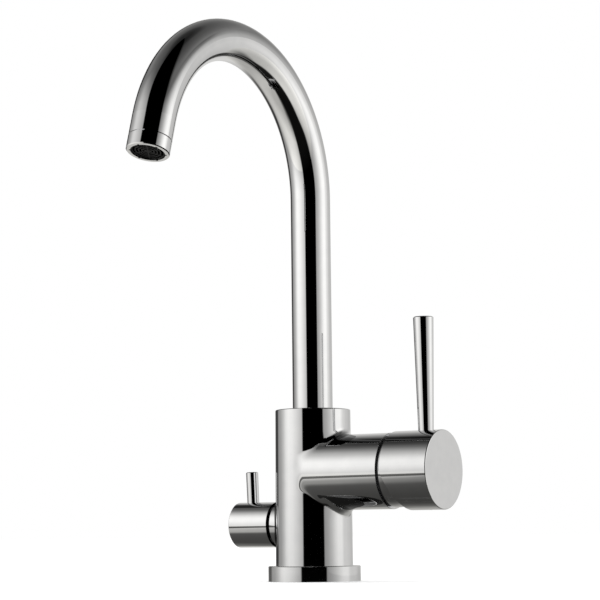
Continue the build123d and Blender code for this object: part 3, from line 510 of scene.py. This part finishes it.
tent_radius = 1.0
tent_segments = 96
tent_brightness = 1.11
tent_shade = (1.0, 0.99, 0.968, 1)
tent_round = [
    (-180, 0.63), (-169, 0.50), (-158, 0.08), (-148, 0.04), (-137, 0.04), (-129, 0.30), (-114, 0.41),
    (-102, 0.60), (-90, 0.90), (-80, 1.0), (-66, 0.94), (-50, 0.76), (-34, 0.54), (-31.5, 0.001),
    (28.5, 0.001), (31, 0.33), (42, 0.43), (54, 0.60), (66, 0.83), (76, 0.98), (90, 0.99), (102, 0.74),
    (112, 0.59), (124, 0.55), (146, 0.46), (156, 0.50), (168, 0.61), (180, 0.63),
]
tent_up = [
    (0, 0.74), (10, 0.91), (18, 1.0), (26, 1.0), (30, 0.96), (35, 0.86), (40, 0.71), (45, 0.55), (50, 0.42),
    (55, 0.27), (60, 0.15), (65, 0.09), (70, 0.075), (75, 0.04), (80, 0.016), (90, 0.010),
]
tent_up_right = [
    (0, 0.74), (10, 0.94), (18, 1.0), (30, 1.0), (35, 0.74), (40, 0.45), (45, 0.19), (50, 0.11), (55, 0.08),
    (65, 0.068), (75, 0.056), (80, 0.016), (90, 0.010),
]
tent_up_behind = [
    (0, 1.0), (20, 1.0), (30, 0.88), (38, 0.70), (45, 0.50), (52, 0.34), (58, 0.26), (65, 0.15), (72, 0.08),
    (80, 0.016), (90, 0.010),
]
tent_right_share = [(-180, 0), (0, 0), (1, 1), (95, 1), (125, 0), (180, 0)]
tent_behind_share = [(-180, 1), (-150, 1), (-115, 0), (100, 0), (114, 1), (180, 1)]
drape_rise = (15, 65)
drape_spread = 18.0
drape_edge = (27, 32)
overhead_up = [
    (0, 0), (36, 0), (46, 0.20), (54, 0.22), (61, 0.15), (68, 0.11), (74, 0.085), (79, 0.04), (84, 0.022),
    (90, 0.020),
]
overhead_round = [
    (-180, 1), (-145, 1), (-125, 0.85), (-84, 0.80), (-66, 0.65), (-54, 0.20), (-44, 0), (40, 0),
    (50, 0.50), (70, 0.60), (100, 0.75), (130, 0.85), (160, 0.9), (180, 1),
]
close_under = (0.89, 0.83)
more_than_once = 1.5
twice_rise = (10, 30)
twice_loss = 0.45
to_right = upward.cross(to_camera)


def steps(tree, value, stops):
    """Grey levels at some values, from the lowest to the highest, with an even change between them."""
    lowest = stops[0][0]
    highest = stops[-1][0]
    ramp = add_node(tree, "ShaderNodeValToRGB", {"Fac": rise(tree, value, lowest, highest)})
    marks = ramp.color_ramp.elements
    while len(marks) < len(stops):
        marks.new(0.5)
    for mark, (where, level) in zip(marks, stops):
        mark.position = (where - lowest) / (highest - lowest)
    for mark, (where, level) in zip(marks, stops):
        mark.color = (level, level, level, 1)
    return ramp.outputs["Color"]


def along(tree, place, direction):
    """How far a place lies in a direction from the tap's axis."""
    both = {0: place, 1: direction}
    return add_node(tree, "ShaderNodeVectorMath", both, operation="DOT_PRODUCT").outputs["Value"]


def compass(tree, aside, ahead):
    """The angle round from the camera's side towards its right, in degrees."""
    return sum_of(tree, "DEGREES", sum_of(tree, "ARCTAN2", aside, ahead))


def remainder(tree, loss):
    """The share that a loss leaves."""
    return sum_of(tree, "SUBTRACT", 1.0, loss)


def dim_twice(tree, rays, level, loss):
    """A grey level, with that loss where a mirror shows it by way of another."""
    twice = sum_of(tree, "GREATER_THAN", rays["Glossy Depth"], more_than_once)
    return times(tree, level, remainder(tree, times(tree, twice, loss)))


def glow(tree, brightness, shade):
    """Makes a material shine with that brightness and shade and nothing else, and returns the shader."""
    levels = {"Factor": 1.0, 6: brightness, 7: shade}
    lit = add_node(tree, "ShaderNodeMix", levels, data_type="RGBA", blend_type="MULTIPLY").outputs[2]
    shine = add_node(tree, "ShaderNodeEmission", {"Color": lit, "Strength": tent_brightness})
    tree.links.new(shine.outputs["Emission"], tree.nodes["Material Output"].inputs["Surface"])
    return shine.outputs["Emission"]


def only_in_reflections(piece):
    """Hides a piece from everything but glossy rays."""
    piece.visible_camera = False
    piece.visible_diffuse = False
    piece.visible_transmission = False
    piece.visible_shadow = False


tent_cloth, tree, shader, place = new_material("tent_cloth")
round_angle = compass(tree, along(tree, place, to_right), along(tree, place, to_camera))
up_share = sum_of(tree, "DIVIDE", axes_of(tree, place)["Z"], tent_radius)
up_angle = sum_of(tree, "DEGREES", sum_of(tree, "ARCSINE", up_share))
fall_off_sides = blend(
    tree,
    steps(tree, round_angle, tent_right_share),
    steps(tree, up_angle, tent_up),
    steps(tree, up_angle, tent_up_right),
)
fall_off = blend(
    tree,
    steps(tree, round_angle, tent_behind_share),
    fall_off_sides,
    steps(tree, up_angle, tent_up_behind),
)
wall_level = times(tree, steps(tree, round_angle, tent_round), fall_off)
drape_shift = times(tree, soft_rise(tree, up_angle, *drape_rise), drape_spread)
from_drape = sum_of(tree, "SUBTRACT", sum_of(tree, "ABSOLUTE", round_angle), drape_shift)
wall_seen = times(tree, wall_level, soft_rise(tree, from_drape, *drape_edge))
rays = add_node(tree, "ShaderNodeLightPath").outputs
overhead_level = times(tree, steps(tree, up_angle, overhead_up), steps(tree, round_angle, overhead_round))
overhead_seen = times(tree, overhead_level, soft_rise(tree, rays["Ray Length"], *close_under))
tent_level = sum_of(tree, "MAXIMUM", wall_seen, overhead_seen)
tent_loss = times(tree, soft_rise(tree, up_angle, *twice_rise), twice_loss)
glow(tree, dim_twice(tree, rays, tent_level, tent_loss), tent_shade)
tent_mesh = bpy.data.meshes.new("tent")
tent_form = bmesh.new()
bmesh.ops.create_uvsphere(
    tent_form, u_segments=tent_segments, v_segments=tent_segments // 2, radius=tent_radius
)
tent_form.to_mesh(tent_mesh)
tent_form.free()
tent_mesh.materials.append(tent_cloth)
tent = bpy.data.objects.new("tent", tent_mesh)
bpy.context.scene.collection.objects.link(tent)
only_in_reflections(tent)

# Table card: what the chrome mirrors below it, a polished table, white further out with a seam between.
# Close round the tap it is dark, darker still next to the body: painted shadow and painted reflection of
# the tap.
# The black drape runs over it towards the camera, and a black strip away behind. The low pieces mirror its
# near part in other greys than the arch does, painted shade and reflection of the tap as well. Mirrored
# twice, it is dimmer.

table_lift = 0.0004
table_reach = 0.5
table_shade = (1.0, 0.985, 0.935, 1)
table_ior = 1.45
table_roughness = 0.03
table_twice_loss = 0.8
table_low_view = (0.25, 0.19)
table_slant_view = (0.55, 0.35)
table_under_steep = (0.095, 0.055)
table_under = [
    (-180, 0.34), (-150, 0.32), (-135, 0.20), (-118, 0.055), (60, 0.045), (80, 0.13), (95, 0.30),
    (120, 0.36), (150, 0.36), (180, 0.34),
]
table_contact_shadow = [
    (-180, 0.10), (-135, 0.10), (-118, 0.055), (60, 0.045), (80, 0.08), (110, 0.11), (150, 0.11),
    (180, 0.10),
]
contact_shadow_share = [(0.0, 1), (0.035, 1), (0.07, 0), (table_reach, 0)]
table_near = [
    (-180, 0.40), (-150, 0.52), (-130, 0.50), (-110, 0.42), (-83, 0.42), (-58, 0.38), (-48, 0.22),
    (-36, 0.05), (-25, 0.004), (60, 0.004), (145, 0.006), (153, 0.18), (161, 0.33), (180, 0.40),
]
table_near_low = [
    (-180, 0.40), (-150, 0.52), (-130, 0.46), (-110, 0.38), (-83, 0.34), (-70, 0.29), (-58, 0.21),
    (-48, 0.20), (-36, 0.15), (-24, 0.125), (-14, 0.11), (-4, 0.04), (10, 0.01), (60, 0.02), (80, 0.13),
    (95, 0.30), (120, 0.36), (150, 0.36), (180, 0.40),
]
table_far = [
    (-180, 0.36), (-160, 0.42), (-143, 0.54), (-128, 0.54), (-113, 0.60), (-98, 0.66), (-83, 0.72),
    (-60, 0.72), (-45, 0.60), (-36, 0.45), (-33, 0.004), (31, 0.004), (36, 0.42), (52, 0.64), (67, 0.66),
    (97, 0.48), (122, 0.40), (134, 0.10), (155, 0.14), (168, 0.40), (180, 0.36),
]
table_far_share = [(0.0, 0), (0.15, 0), (0.33, 1), (table_reach, 1)]
table_right_edge = (0.148, 0.195)
table_end_share = [(0.0, 0), (0.45, 0), (0.95, 1), (tent_radius, 1)]
strip_slope = 0.52
strip_start = 0.063
strip_width = (0.036, 0.05)
strip_steep = (0.26, 0.55)
strip_end = (0.8, 1.0)
seam_ring = [(0.0, 0), (0.215, 0), (0.23, 0.85), (0.36, 0.85), (0.375, 0), (table_reach, 0)]
seam_ring_left = [(0.0, 0), (0.18, 0), (0.19, 0.9), (0.41, 0.9), (0.44, 0), (table_reach, 0)]
seam_left_share = [(-180, 1), (-66, 1), (-62, 0), (180, 0)]
seam_round = [(-180, 0), (-110, 0), (-85, 1), (-20, 1), (0, 0), (180, 0)]
seam_lost = (0.75, 0.55)
seam_steep = (0.08, 0.13)

table_card, tree, shader, place = new_material("table_card")
aside = along(tree, place, to_right)
ahead = along(tree, place, to_camera)
round_angle = compass(tree, aside, ahead)
out = length_of(tree, place)
rays = add_node(tree, "ShaderNodeLightPath").outputs
slant = add_node(tree, "ShaderNodeFresnel", {"IOR": table_ior}).outputs["Fac"]
low_view = soft_rise(tree, rays["Ray Length"], *table_low_view)
# Painted shadow: the tap's contact shadow on the table, darker close to the body.
shaded_under_level = blend(
    tree,
    steps(tree, out, contact_shadow_share),
    steps(tree, round_angle, table_under),
    steps(tree, round_angle, table_contact_shadow),
)
around_level = blend(
    tree,
    times(tree, low_view, soft_rise(tree, slant, *table_slant_view)),
    steps(tree, round_angle, table_near),
    steps(tree, round_angle, table_near_low),
)
under_share = times(tree, soft_rise(tree, slant, *table_under_steep), low_view)
near_level = blend(tree, under_share, around_level, shaded_under_level)

strip_middle = sum_of(tree, "SUBTRACT", strip_start, times(tree, ahead, strip_slope))
from_strip = sum_of(tree, "ABSOLUTE", sum_of(tree, "SUBTRACT", aside, strip_middle))
beside_strip = soft_rise(tree, from_strip, *strip_width)
before_strip = sum_of(tree, "GREATER_THAN", ahead, 0.0)
strip_lost = sum_of(
    tree, "MAXIMUM", soft_rise(tree, slant, *strip_steep), soft_rise(tree, out, *strip_end)
)
off_strip = sum_of(tree, "MAXIMUM", sum_of(tree, "MAXIMUM", beside_strip, before_strip), strip_lost)
far_share = blend(
    tree,
    sum_of(tree, "GREATER_THAN", aside, 0.0),
    steps(tree, out, table_far_share),
    soft_rise(tree, aside, *table_right_edge),
)
far_level = steps(tree, round_angle, table_far)
table_level = blend(tree, times(tree, far_share, off_strip), near_level, far_level)

seam_mark = blend(
    tree,
    steps(tree, round_angle, seam_left_share),
    steps(tree, out, seam_ring),
    steps(tree, out, seam_ring_left),
)
seam_slant = times(tree, soft_rise(tree, slant, *seam_lost), soft_rise(tree, slant, *seam_steep))
seam_depth = times(tree, times(tree, seam_mark, steps(tree, round_angle, seam_round)), seam_slant)
seam_clear = remainder(tree, seam_depth)
card_level = blend(
    tree,
    times(tree, steps(tree, out, table_end_share), off_strip),
    times(tree, table_level, seam_clear),
    steps(tree, round_angle, tent_round),
)
table_glow = glow(tree, dim_twice(tree, rays, card_level, table_twice_loss), table_shade)
table_gloss = add_node(tree, "ShaderNodeBsdfGlossy", {"Roughness": table_roughness, "Color": pure_white})
table_mix = {0: times(tree, slant, seam_clear), 1: table_glow, 2: table_gloss.outputs["BSDF"]}
table_surface = add_node(tree, "ShaderNodeMixShader", table_mix).outputs["Shader"]
tree.links.new(table_surface, tree.nodes["Material Output"].inputs["Surface"])
only_in_reflections(flat_panel("table_card", tent_radius, table_lift, table_card))

# Picture: plain colours with no film look.

bpy.context.scene.view_settings.view_transform = "Standard"
